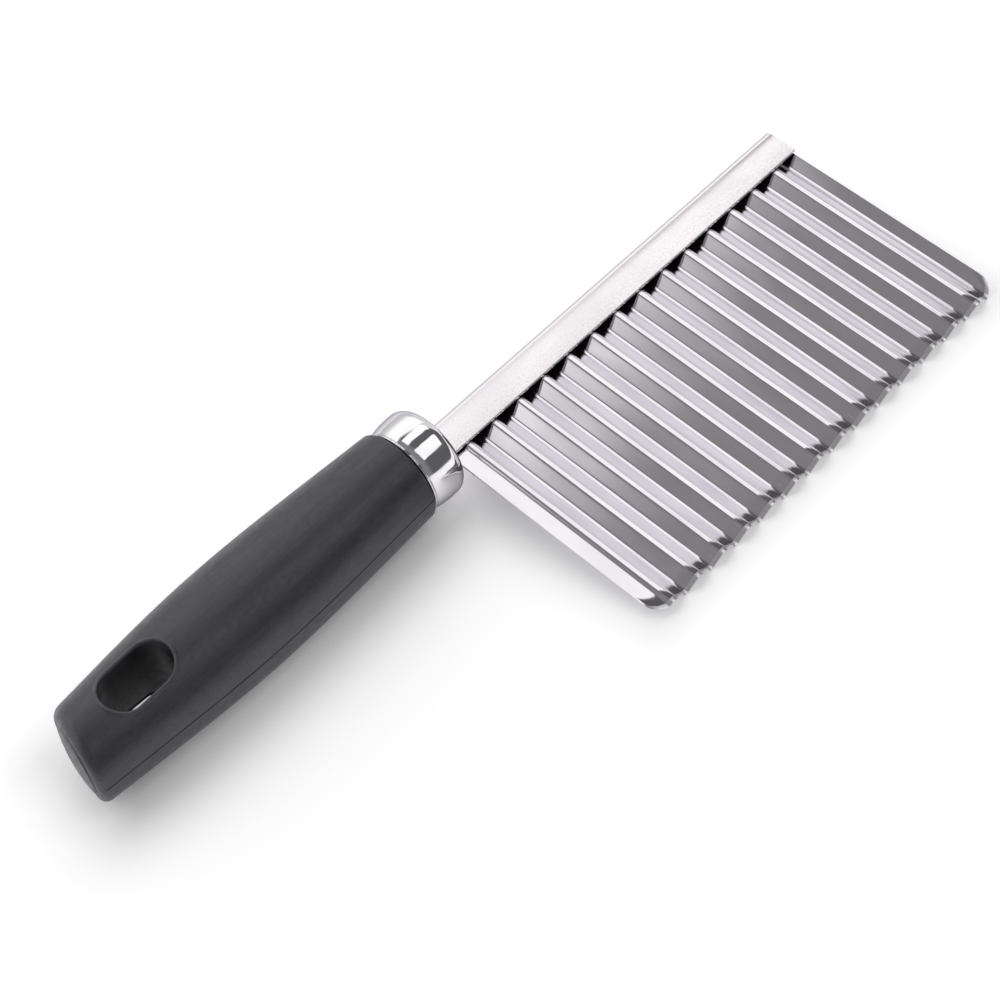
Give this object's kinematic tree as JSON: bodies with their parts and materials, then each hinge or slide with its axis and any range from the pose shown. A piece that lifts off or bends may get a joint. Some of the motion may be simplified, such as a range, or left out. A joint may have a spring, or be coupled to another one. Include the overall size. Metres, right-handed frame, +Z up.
{
  "type": "crinkle cutter",
  "caption": "Crinkle cutter with a corrugated stainless blade held in a folded spine, a bright collar and an oval black grip with a hang hole, for cutting wavy slices.",
  "frame": {"origin": "middle of the bounding box's base, on the table that the tool lies on; it lies on the belly of its grip and on its cutting edge, face side up", "axes": "+X along the grip towards the toe of the blade, +Z up from the table, with the cutting edge towards -Y"},
  "size_m": [0.2208, 0.0764, 0.0242],
  "materials": {
    "grip": "black moulded plastic with a fine satin grain",
    "collar": "bright mirror plating",
    "channel": "bright rolled stainless sheet",
    "blade": "mirror polished stainless sheet with a ground cutting edge"
  },
  "bodies": {
    "root": {"grip": "grip", "collar": "collar", "channel": "channel", "blade": "blade"}
  },
  "joints": []
}
